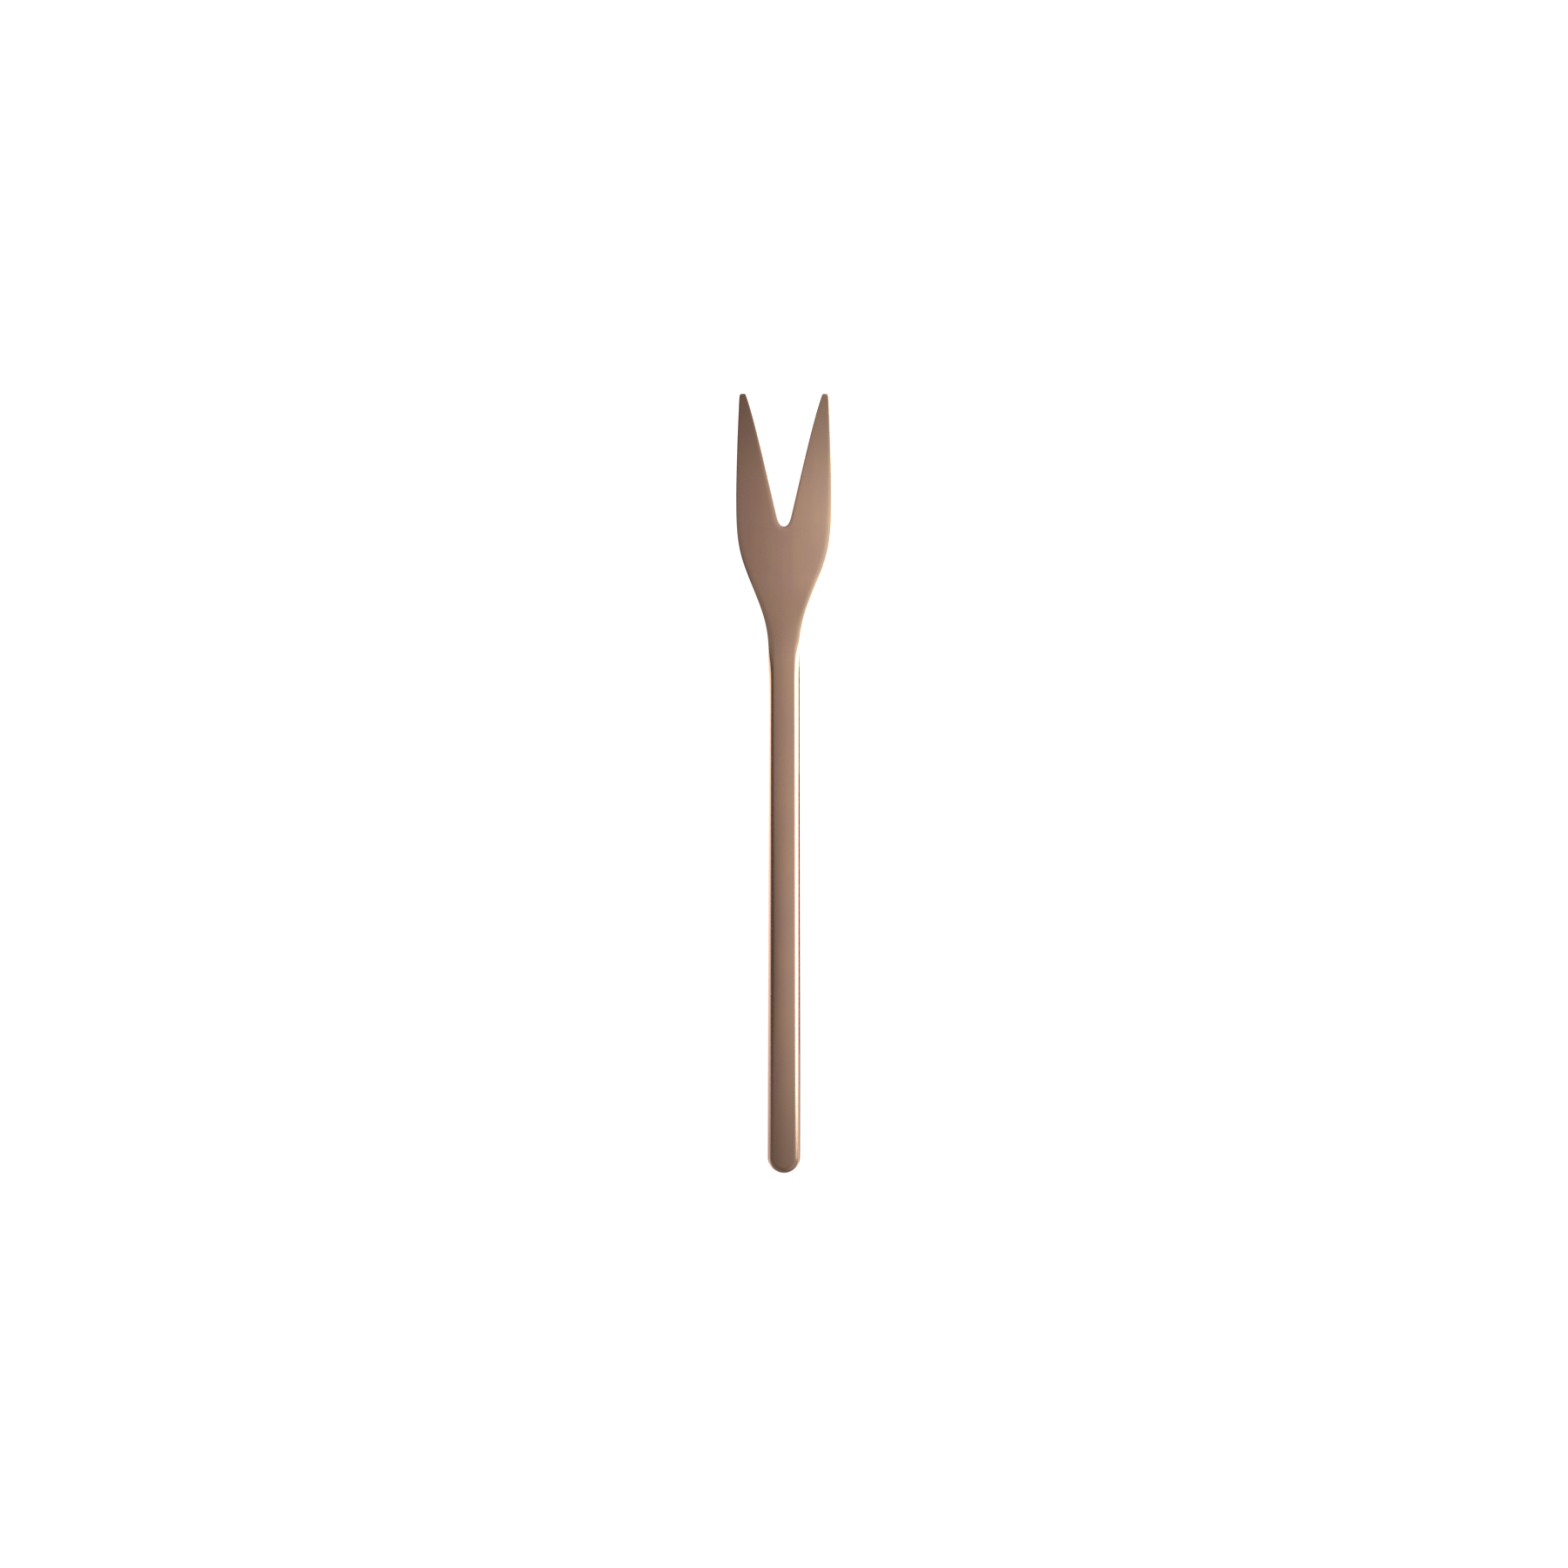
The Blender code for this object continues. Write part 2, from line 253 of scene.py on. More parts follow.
@dataclass(frozen=True)
class SatinBronze:
    """A bronze-coloured coating on steel, brushed finely along the fork.

    The grain is the brushing. The clouds and the streaks are where the coating's tint changes,
    and the wear is where the edges are rubbed paler and smoother.
    """

    name: str
    colour: Colour = (0.505, 0.305, 0.205)
    cool_tint: Colour = (0.478, 0.276, 0.216)
    worn_tint: Colour = (0.56, 0.347, 0.250)
    roughness: float = 0.27
    roughness_swing: float = 0.05
    grain_pitch: float = 0.09 * MM
    grain_length: float = 7.0 * MM
    grain_depth: float = 0.0007 * MM
    grain_bump: float = 0.5
    cloud_size: float = 8.0 * MM
    streak_pitch: float = 1.4 * MM
    streak_length: float = 32.0 * MM
    cloud_share: float = 0.55
    streak_share: float = 0.45
    tint_start: float = 0.36
    tint_contrast: float = 3.5
    tint_dulling: float = 0.04
    wear_paling: float = 0.5
    wear_polish: float = 0.05

    def material(self) -> bpy.types.Material:
        """Build the node material.

        Returns:
            A metal whose colour and roughness vary with the brushing, the coating and the wear.
        """
        material, graph, shader, place = new_material(self.name)
        grain = self._grain(graph, place)
        clouds = self._clouds(graph, place)
        wear = graph.signal(
            "ShaderNodeAttribute",
            {"attribute_type": "GEOMETRY", "attribute_name": EDGE_ATTRIBUTE},
            output="Fac",
        )
        tinted = mixed_colour(graph, clouds, self.colour, self.cool_tint)
        worn = mixed_colour(graph, wear * self.wear_paling, tinted, self.worn_tint)
        graph.link(worn, shader.inputs["Base Color"])
        rough = self.roughness + (grain - 0.5) * self.roughness_swing - wear * self.wear_polish
        rough = rough + (clouds - 0.5) * self.tint_dulling
        graph.link(rough, shader.inputs["Roughness"])
        shader.inputs["Metallic"].default_value = 1.0
        bump = graph.signal(
            "ShaderNodeBump",
            inputs={
                "Strength": self.grain_bump,
                "Distance": self.grain_depth,
                "Height": grain,
            },
        )
        graph.link(bump, shader.inputs["Normal"])
        return material

    def _grain(self, graph: Graph, place: Signal) -> Signal:
        """Draw fine brush lines along the fork.

        Args:
            graph: The material's tree.
            place: The object coordinates.

        Returns:
            The height of the lines, from 0 to 1.
        """
        x, y, z = graph.split(place)
        stretched = graph.join(x / self.grain_pitch, y / self.grain_length, z / self.grain_pitch)
        return graph.signal(
            "ShaderNodeTexNoise",
            inputs={"Vector": stretched, "Scale": 1.0, "Detail": 3.0, "Roughness": 0.6},
        )

    def _clouds(self, graph: Graph, place: Signal) -> Signal:
        """Draw the coating's faint changes of tint, part cloud and part streak.

        Args:
            graph: The material's tree.
            place: The object coordinates.

        Returns:
            The share of the cool tint, from 0 to 1.
        """
        clouds = graph.signal(
            "ShaderNodeTexNoise",
            inputs={"Vector": place, "Scale": 1.0 / self.cloud_size, "Detail": 2.0},
        )
        x, y, z = graph.split(place)
        drawn = graph.join(x / self.streak_pitch, y / self.streak_length, z / self.streak_pitch)
        streaks = graph.signal(
            "ShaderNodeTexNoise", inputs={"Vector": drawn, "Scale": 1.0, "Detail": 1.0}
        )
        both = clouds * self.cloud_share + streaks * self.streak_share
        return graph.clamp((both - self.tint_start) * self.tint_contrast)


@dataclass(frozen=True)
class SetCement:
    """The hard cement inside the handle: matt, pale and grainy."""

    name: str = "set_cement"
    colour: Colour = (0.56, 0.54, 0.50)
    speck_colour: Colour = (0.36, 0.34, 0.31)
    speck_size: float = 0.25 * MM
    speck_contrast: float = 4.0
    roughness: float = 0.8
    roughness_swing: float = 0.15
    pit_depth: float = 0.02 * MM
    pit_bump: float = 0.8

    def material(self) -> bpy.types.Material:
        """Build the node material.

        Returns:
            A matt material with dark specks that are also pits.
        """
        material, graph, shader, place = new_material(self.name)
        specks = graph.signal(
            "ShaderNodeTexNoise",
            inputs={"Vector": place, "Scale": 1.0 / self.speck_size, "Detail": 4.0},
        )
        dark = graph.clamp((specks - 0.5) * self.speck_contrast)
        colour = mixed_colour(graph, dark, self.colour, self.speck_colour)
        graph.link(colour, shader.inputs["Base Color"])
        graph.link(self.roughness + specks * self.roughness_swing, shader.inputs["Roughness"])
        bump = graph.signal(
            "ShaderNodeBump",
            inputs={"Strength": self.pit_bump, "Distance": self.pit_depth, "Height": specks},
        )
        graph.link(bump, shader.inputs["Normal"])
        return material


def new_material(name: str) -> tuple[bpy.types.Material, Graph, bpy.types.Node, Signal]:
    """Start a node material.

    Args:
        name: The material's name.

    Returns:
        The material, its graph, its Principled shader and the object coordinates.
    """
    material = bpy.data.materials.new(name)
    material.use_nodes = True
    graph = Graph(material.node_tree)
    shader = material.node_tree.nodes["Principled BSDF"]
    place = graph.signal("ShaderNodeTexCoord", output="Object")
    return material, graph, shader, place


def mixed_colour(graph: Graph, share: Value, first: Any, second: Any) -> Signal:
    """Mix two colours.

    Args:
        graph: The tree to add to.
        share: How much of the second colour, from 0 to 1.
        first: A colour or a signal.
        second: A colour or a signal.

    Returns:
        The mixed colour.
    """
    made = graph.node("ShaderNodeMix", {"data_type": "RGBA"}, {"Factor": share})
    for socket, value in ((made.inputs[6], first), (made.inputs[7], second)):
        if isinstance(value, Signal):
            graph.link(value, socket)
        else:
            socket.default_value = (*value, 1.0)
    return Signal(graph, made.outputs[2])


# ---------------------------------------------------------------------------------------------
# Shape
# ---------------------------------------------------------------------------------------------


@dataclass(frozen=True)
class ForkSizes:
    """The sizes that the head and the handle share, with the fork's side view."""

    handle_length: float = 100.4 * MM
    head_length: float = 49.6 * MM
    neck_width: float = 6.0 * MM
    end_width: float = 6.32 * MM
    handle_thickness: float = 3.6 * MM
    palm_thickness: float = 2.4 * MM
    tip_thickness: float = 1.9 * MM
    handle_lift: float = 2.2 * MM
    end_bend_length: float = 45.0 * MM
    neck_bend_from_joint: float = -3.4 * MM
    palm_from_joint: float = 15.2 * MM
    palm_length: float = 9.6 * MM
    tip_lift: float = 3.0 * MM
    neck_crown: float = 0.18 * MM
    end_crown: float = 0.30 * MM
    handle_roll: float = 1.15 * MM
    neck_upright: float = 0.90
    palm_upright: float = 0.78
    round_to_joint: float = 5.4 * MM
    square_from_joint: float = 2.6 * MM
    rest_from_end: float = 1.1 * MM
    seam: float = 0.04 * MM
    joint: float = 0.008 * MM

    @property
    def length(self) -> float:
        """The whole fork's length."""
        return self.handle_length + self.head_length

    @property
    def neck_bend_start(self) -> float:
        """The station where the neck starts to bend down."""
        return self.handle_length + self.neck_bend_from_joint

    @property
    def palm_start(self) -> float:
        """The station where the flat under the palm starts."""
        return self.handle_length + self.palm_from_joint

    @property
    def palm_end(self) -> float:
        """The station where the tines start to rise."""
        return self.palm_start + self.palm_length

    @property
    def bend_at_rest(self) -> float:
        """The share of the end bend that brings the handle's underside down to the table."""
        return 1.0 - self.rest_from_end / self.end_bend_length

    @property
    def round_stop(self) -> float:
        """The station where the handle's full rounding starts to give way at the neck."""
        return self.handle_length - self.round_to_joint

    @property
    def square_start(self) -> float:
        """The station from which the edge is square again."""
        return self.handle_length + self.square_from_joint

    def upright(self, station: float) -> float:
        """Find how square the edge is.

        Args:
            station: The place along the fork.

        Returns:
            The share of the edge's height that stands upright, under its rounding.
        """
        at_neck = ease((station - self.round_stop) / (self.square_start - self.round_stop))
        palm = ease((station - self.neck_bend_start) / (self.palm_start - self.neck_bend_start))
        return at_neck * mix(self.neck_upright, self.palm_upright, palm**2)

    def thickness(self, station: float) -> float:
        """Find the thickness on the middle line.

        Args:
            station: The place along the fork.

        Returns:
            The thickness, which eases from the handle's to the palm's and tapers along the tines.
        """
        if station <= self.palm_end:
            share = ease((station - self.handle_length) / self.palm_from_joint)
            return mix(self.handle_thickness, self.palm_thickness, share)
        share = (station - self.palm_end) / (self.length - self.palm_end)
        return mix(self.palm_thickness, self.tip_thickness, share)

    def underside(self, station: float) -> float:
        """Find how high the underside is on the middle line.

        Args:
            station: The place along the fork.

        Returns:
            The height over the table: nothing at the handle's end and under the palm.
        """
        neck = (station - self.neck_bend_start) / (self.palm_start - self.neck_bend_start)
        height = self.handle_lift * (1.0 - ease(neck))
        if station < self.end_bend_length:
            bend = 1.0 - station / self.end_bend_length
            height -= self.handle_lift * (bend / self.bend_at_rest) ** 3
        if station > self.palm_end:
            share = (station - self.palm_end) / (self.length - self.palm_end)
            height += self.tip_lift * share**2
        return height

    def middle(self, station: float) -> float:
        """Return the height halfway through the thickness at a station."""
        return self.underside(station) + self.thickness(station) / 2.0

    def place(self, x: float, station: float, height: float) -> Vector:
        """Return the point in the fork's frame."""
        return Vector((x, station - self.length / 2.0, height))


def rolled(share: float, upright: float) -> Point:
    """Follow a rounded edge from its outermost line to the face.

    Args:
        share: How far round the edge, from 0 at the outermost line to 1 at the face.
        upright: The share of the edge's height that stands upright under the rounding.

    Returns:
        How far in that is, as a share of the rounding's width, and how far up, as a share of the
        edge's height.
    """
    if share <= 0.0:
        return 0.0, 0.0
    angle = share * math.pi / 2.0
    return 1.0 - math.cos(angle), upright + (1.0 - upright) * math.sin(angle)


@dataclass(frozen=True)
class EdgeLine:
    """A stretch of the head's outline, as one cubic curve after another.

    It is kept as points in plan, each an x and a station, with the side that the metal is on.
    """

    points: np.ndarray
    metal_on_left: bool

    @classmethod
    def through(
        cls, knots: Sequence[tuple[Point, Point, float, float]], metal_on_left: bool
    ) -> "EdgeLine":
        """Build a line from knots.

        Args:
            knots: Each has a place, a direction, and the curve handle's length before and after.
            metal_on_left: Whether the metal is on the left of the way the line runs.

        Returns:
            The line, sampled finely.
        """
        samples_in_curve = 241
        steps = np.linspace(0.0, 1.0, samples_in_curve)[:, None]
        stretches = []
        for (start, way_out, _, after), (stop, way_in, before, _) in zip(knots, knots[1:]):
            first, last = np.array(start), np.array(stop)
            out = np.array(way_out) / np.hypot(*way_out)
            into = np.array(way_in) / np.hypot(*way_in)
            second, third = first + out * after, last - into * before
            weights = (1 - steps) ** 3, 3 * steps * (1 - steps) ** 2, 3 * steps**2 * (1 - steps)
            curve = weights[0] * first + weights[1] * second + weights[2] * third + steps**3 * last
            stretches.append(curve if not stretches else curve[1:])
        return cls(np.vstack(stretches), metal_on_left)

    def at_share(self, share: float) -> EdgePoint:
        """Find a point by its distance along the line.

        Args:
            share: The share of the line's length, from 0 to 1.

        Returns:
            The point and the direction into the metal.
        """
        lengths = np.hypot(*np.diff(self.points, axis=0).T)
        along = np.concatenate(([0.0], np.cumsum(lengths)))
        return self._at(along, share * along[-1])

    def at_station(self, station: float) -> EdgePoint:
        """Return the point at a station, and the direction into the metal."""
        return self._at(self.points[:, 1], station)

    def _at(self, scale: np.ndarray, value: float) -> EdgePoint:
        """Find the place where a scale along the line reaches a value.

        Args:
            scale: A number for each point of the line, which rises along it.
            value: The value to find; past an end of the scale, the end is used.

        Returns:
            The point and the direction into the metal.
        """
        index = int(np.clip(np.searchsorted(scale, value), 1, len(scale) - 1))
        span = scale[index] - scale[index - 1]
        share = float(np.clip((value - scale[index - 1]) / span, 0.0, 1.0)) if span else 0.0
        point = self.points[index - 1] + (self.points[index] - self.points[index - 1]) * share
        low, high = max(index - 2, 0), min(index + 1, len(scale) - 1)
        way = self.points[high] - self.points[low]
        way = way / np.hypot(*way)
        inward = np.array((-way[1], way[0])) if self.metal_on_left else np.array((way[1], -way[0]))
        return point, inward


@dataclass
class ForkHead:
    """The forged head: tines, palm, neck and the tang behind it."""

    sizes: ForkSizes
    finish: SatinBronze
    width: float = 18.48 * MM
    widest_from_tips: float = 19.8 * MM
    shoulder_width: float = 12.64 * MM
    shoulder_from_joint: float = 13.17 * MM
    shoulder_flare: float = 0.41
    tip_spacing: float = 15.74 * MM
    tip_width: float = 1.5 * MM
    tip_bluntness: float = 0.8
    outer_lean: float = 0.067
    notch_depth: float = 25.4 * MM
    notch_bottom_width: float = 2.8 * MM
    notch_bottom_round: float = 2.0 * MM
    notch_lean_at_bottom: float = 0.236
    notch_lean_at_tip: float = 0.358
    crown: float = 0.62 * MM
    palm_roll: float = 1.1 * MM
    tip_roll: float = 0.35 * MM
    roll_blend: float = 9.0 * MM
    notch_upright: float = 0.92
    tang_length: float = 36.0 * MM
    tang_width: float = 2.8 * MM
    tang_thickness: float = 1.2 * MM
    tang_root: float = 4.0 * MM
    palm_rows: int = 64
    notch_rows: int = 14
    tine_rows: int = 76
    tip_rows: int = 14
    tang_rows: int = 21
    roll_columns: int = 12
    face_columns: int = 18
    outer: EdgeLine = field(init=False)
    outer_tip: EdgeLine = field(init=False)
    notch: EdgeLine = field(init=False)
    inner: EdgeLine = field(init=False)
    inner_tip: EdgeLine = field(init=False)

    def __post_init__(self) -> None:
        """Lay out one side of the outline.

        Each knot has its place, its direction, and the curve handle's length before and after.
        """
        sizes = self.sizes
        joint, tips = sizes.handle_length, sizes.length
        tip_x, tip_half = self.tip_spacing / 2.0, self.tip_width / 2.0
        tip_round = self.tip_bluntness * tip_half
        bottom = tips - self.notch_depth
        bottom_x = self.notch_bottom_width / 2.0
        neck = ((sizes.neck_width / 2.0, joint), (0.0, 1.0), 0.0, 5.1 * MM)
        shoulder_place = (self.shoulder_width / 2.0, joint + self.shoulder_from_joint)
        shoulder = (shoulder_place, (self.shoulder_flare, 1.0), 5.3 * MM, 6.5 * MM)
        widest = ((self.width / 2.0, tips - self.widest_from_tips), (0.0, 1.0), 8.4 * MM, 4.1 * MM)
        outer_way = (-self.outer_lean, 1.0)
        outer_corner = ((tip_x + tip_half, tips - tip_half), outer_way, 3.8 * MM, tip_round)
        outer_apex = ((tip_x, tips), (-1.0, 0.0), tip_round, 0.0)
        floor = ((0.0, bottom), (1.0, 0.0), 0.0, QUARTER_ARC * bottom_x)
        root_way = (self.notch_lean_at_bottom, 1.0)
        root_place = (bottom_x, bottom + self.notch_bottom_round)
        root = (root_place, root_way, QUARTER_ARC * self.notch_bottom_round, 7.1 * MM)
        inner_way = (self.notch_lean_at_tip, 1.0)
        inner_corner = ((tip_x - tip_half, tips - tip_half), inner_way, 4.7 * MM, tip_round)
        inner_apex = ((tip_x, tips), (1.0, 0.0), tip_round, 0.0)
        self.outer = EdgeLine.through([neck, shoulder, widest, outer_corner], True)
        self.outer_tip = EdgeLine.through([outer_corner, outer_apex], True)
        self.notch = EdgeLine.through([floor, root], False)
        self.inner = EdgeLine.through([root, inner_corner], False)
        self.inner_tip = EdgeLine.through([inner_corner, inner_apex], False)

    def edge_roll(self, station: float) -> float:
        """Find how wide the rounding of the edge is.

        Args:
            station: The place along the fork.

        Returns:
            How far in from the outline the rounding reaches.
        """
        sizes = self.sizes
        past_joint = ease((station - sizes.handle_length) / self.roll_blend)
        near_joint = mix(sizes.handle_roll, self.palm_roll, past_joint)
        share = (station - sizes.palm_end) / (sizes.length - self.tip_width - sizes.palm_end)
        return mix(near_joint, self.tip_roll, min(max(share, 0.0), 1.0))

    def crowns(self, x: float, station: float) -> Point:
        """Find how far the faces fall towards the edge.

        Args:
            x: The distance from the middle line.
            station: The place along the fork.

        Returns:
            The fall of the upper face and of the lower face.
        """
        sizes = self.sizes
        share = ease((station - sizes.handle_length) / self.roll_blend)
        at_joint = sizes.neck_crown * (x / (sizes.neck_width / 2.0)) ** 2
        on_palm = self.crown * (x / (self.width / 2.0)) ** 2
        return mix(at_joint, on_palm, share), mix(at_joint, 0.0, share)

    def _columns(
        self, outer: EdgePoint, inner: EdgePoint | None, station: float
    ) -> list[RowPoint]:
        """Lay the points of one row, from the outer edge to the notch or the middle line.

        Args:
            outer: The outer edge's point and its direction into the metal.
            inner: The notch edge's point and direction, or None where the row runs to the
                middle line.
            station: Where the middle line is met, if it is.

        Returns:
            Each point's place in plan, how far round its edge it is, and the share of that edge
            that stands upright.
        """
        rolls = [index / self.roll_columns for index in range(self.roll_columns + 1)]
        row = self._edge(outer, rolls, self.sizes.upright(float(outer[0][1])))
        far_side = [((0.0, station), 1.0, 0.0)]
        if inner is not None:
            far_side = self._edge(inner, rolls[::-1], self.notch_upright)
        start, stop = np.array(row[-1][0]), np.array(far_side[0][0])
        for index in range(1, self.face_columns):
            place = start + (stop - start) * index / self.face_columns
            row.append(((float(place[0]), float(place[1])), 1.0, 0.0))
        return row + far_side

    def _edge(self, edge: EdgePoint, rolls: Sequence[float], upright: float) -> list[RowPoint]:
        """Lay the points of one row that are on a rounded edge.

        Args:
            edge: The edge's point and its direction into the metal.
            rolls: How far round the edge each point is, from 0 outside to 1 at the face.
            upright: The share of the edge's height that stands upright.

        Returns:
            The points, in the order of the rolls.
        """
        point, inward = edge
        reach = self.edge_roll(float(point[1]))
        places = [point + inward * reach * rolled(roll, 0.0)[0] for roll in rolls]
        return [((float(x), float(y)), roll, upright) for (x, y), roll in zip(places, rolls)]

    def _rows(self) -> list[list[RowPoint]]:
        """Lay every row of one side of the head.

        Returns:
            The rows from the joint to the tip: palm, round of the notch, tine, blunt tip.
        """
        sizes = self.sizes
        start = sizes.handle_length + sizes.joint / 2.0
        notch_station = sizes.length - self.notch_depth
        palm_stop = notch_station - self.edge_roll(notch_station)
        root_station = notch_station + self.notch_bottom_round
        corner_station = sizes.length - self.tip_width / 2.0
        rows = []
        for index in range(self.palm_rows):
            station = mix(start, palm_stop, index / self.palm_rows)
            rows.append(self._columns(self.outer.at_station(station), None, station))
        for index in range(self.notch_rows):
            share = index / self.notch_rows
            outer = self.outer.at_station(mix(palm_stop, root_station, share))
            rows.append(self._columns(outer, self.notch.at_share(share), 0.0))
        for index in range(self.tine_rows):
            station = mix(root_station, corner_station, index / self.tine_rows)
            outer = self.outer.at_station(station)
            rows.append(self._columns(outer, self.inner.at_station(station), 0.0))
        for index in range(self.tip_rows + 1):
            share = index / self.tip_rows
            outer = self.outer_tip.at_share(share)
            rows.append(self._columns(outer, self.inner_tip.at_share(share), 0.0))
        return rows

    def _height(self, point: RowPoint, face: int) -> float:
        """Find how high a point of a row is.

        Args:
            point: The point of the row.
            face: 1 for the upper face, -1 for the lower.

        Returns:
            The height over the table.
        """
        (x, station), roll, upright = point
        crown = self.crowns(x, station)[0 if face > 0 else 1]
        half = self.sizes.thickness(station) / 2.0 - crown
        up = rolled(roll, upright)[1]
        return self.sizes.middle(station) + face * half * up

    def _plate(self) -> bpy.types.Mesh:
        """Build the head without its tang.

        Returns:
            One closed mesh, which both sides and both faces are welded into.
        """
        built = bmesh.new()
        wear = built.verts.layers.float.new(EDGE_ATTRIBUTE)
        rows = self._rows()
        for side in (1.0, -1.0):
            for face in (1, -1):
                grid = []
                for row in rows:
                    line = []
                    for point in row:
                        (x, station), roll, _ = point
                        height = self._height(point, face)
                        vertex = built.verts.new(self.sizes.place(side * x, station, height))
                        vertex[wear] = (1.0 - roll) ** 0.5
                        line.append(vertex)
                    grid.append(line)
                self._fill(built, grid, side * face > 0)
        bmesh.ops.remove_doubles(built, verts=built.verts, dist=WELD)
        bmesh.ops.dissolve_degenerate(built, edges=built.edges, dist=WELD / 2.0)
        ends = [edge for edge in built.edges if edge.is_boundary]
        bmesh.ops.holes_fill(built, edges=ends, sides=0)
        bmesh.ops.recalc_face_normals(built, faces=built.faces)
        mesh = bpy.data.meshes.new("fork_head_fine")
        built.to_mesh(mesh)
        built.free()
        return mesh

    @staticmethod
    def _fill(
        built: bmesh.types.BMesh, grid: list[list[bmesh.types.BMVert]], turned_up: bool
    ) -> None:
        """Join the rows of one side of one face with quads.

        Args:
            built: The mesh to add to.
            grid: The rows. One that ends on the middle line is shorter than one that meets the
                notch, and only the columns that both have are joined.
            turned_up: Whether the corners are taken in the order of the columns.
        """
        for lower, upper in zip(grid, grid[1:]):
            count = min(len(lower), len(upper))
            for index in range(count - 1):
                corners = [lower[index], lower[index + 1], upper[index + 1], upper[index]]
                built.faces.new(corners if turned_up else corners[::-1])

    def _tang(self) -> bpy.types.Object:
        """Build the flat tang, which follows the handle's middle line.

        Returns:
            A closed bar that reaches a little way into the neck.
        """
        sizes = self.sizes
        stop = sizes.handle_length + self.tang_root
        stations = np.linspace(sizes.handle_length - self.tang_length, stop, self.tang_rows)
        wide, deep = self.tang_width / 2.0, self.tang_thickness / 2.0
        corners = [(-wide, -deep), (wide, -deep), (wide, deep), (-wide, deep)]
        built = bmesh.new()
        rings = [
            [built.verts.new(sizes.place(x, at, z + sizes.middle(at))) for x, z in corners]
            for at in stations
        ]
        for lower, upper in zip(rings, rings[1:]):
            for index in range(4):
                after = (index + 1) % 4
                built.faces.new((lower[index], lower[after], upper[after], upper[index]))
        built.faces.new(rings[0])
        built.faces.new(rings[-1])
        bmesh.ops.recalc_face_normals(built, faces=built.faces)
        mesh = bpy.data.meshes.new("tang")
        built.to_mesh(mesh)
        built.free()
        return new_object("tang", mesh)

    def build(self) -> bpy.types.Object:
        """Build the head and dress it.

        Returns:
            The finished piece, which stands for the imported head.
        """
        plate = new_object("head_plate", self._plate())
        tang = self._tang()
        joined = plate.modifiers.new("tang", "BOOLEAN")
        joined.operation = "UNION"
        joined.solver = "EXACT"
        joined.object = tang
        head = baked("fork_head_forged", plate)
        bpy.data.objects.remove(tang, do_unlink=True)
        smooth(head.data, SHARP_ANGLE)
        head.data.materials.clear()
        head.data.materials.append(self.finish.material())
        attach(head, "root")
        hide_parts("fork_head")
        report(head)
        return head


class ShellHalf(Enum):
    """The two stamped halves of the handle, with the side of the seam that each is on."""

    TOP = 1.0
    BOTTOM = -1.0


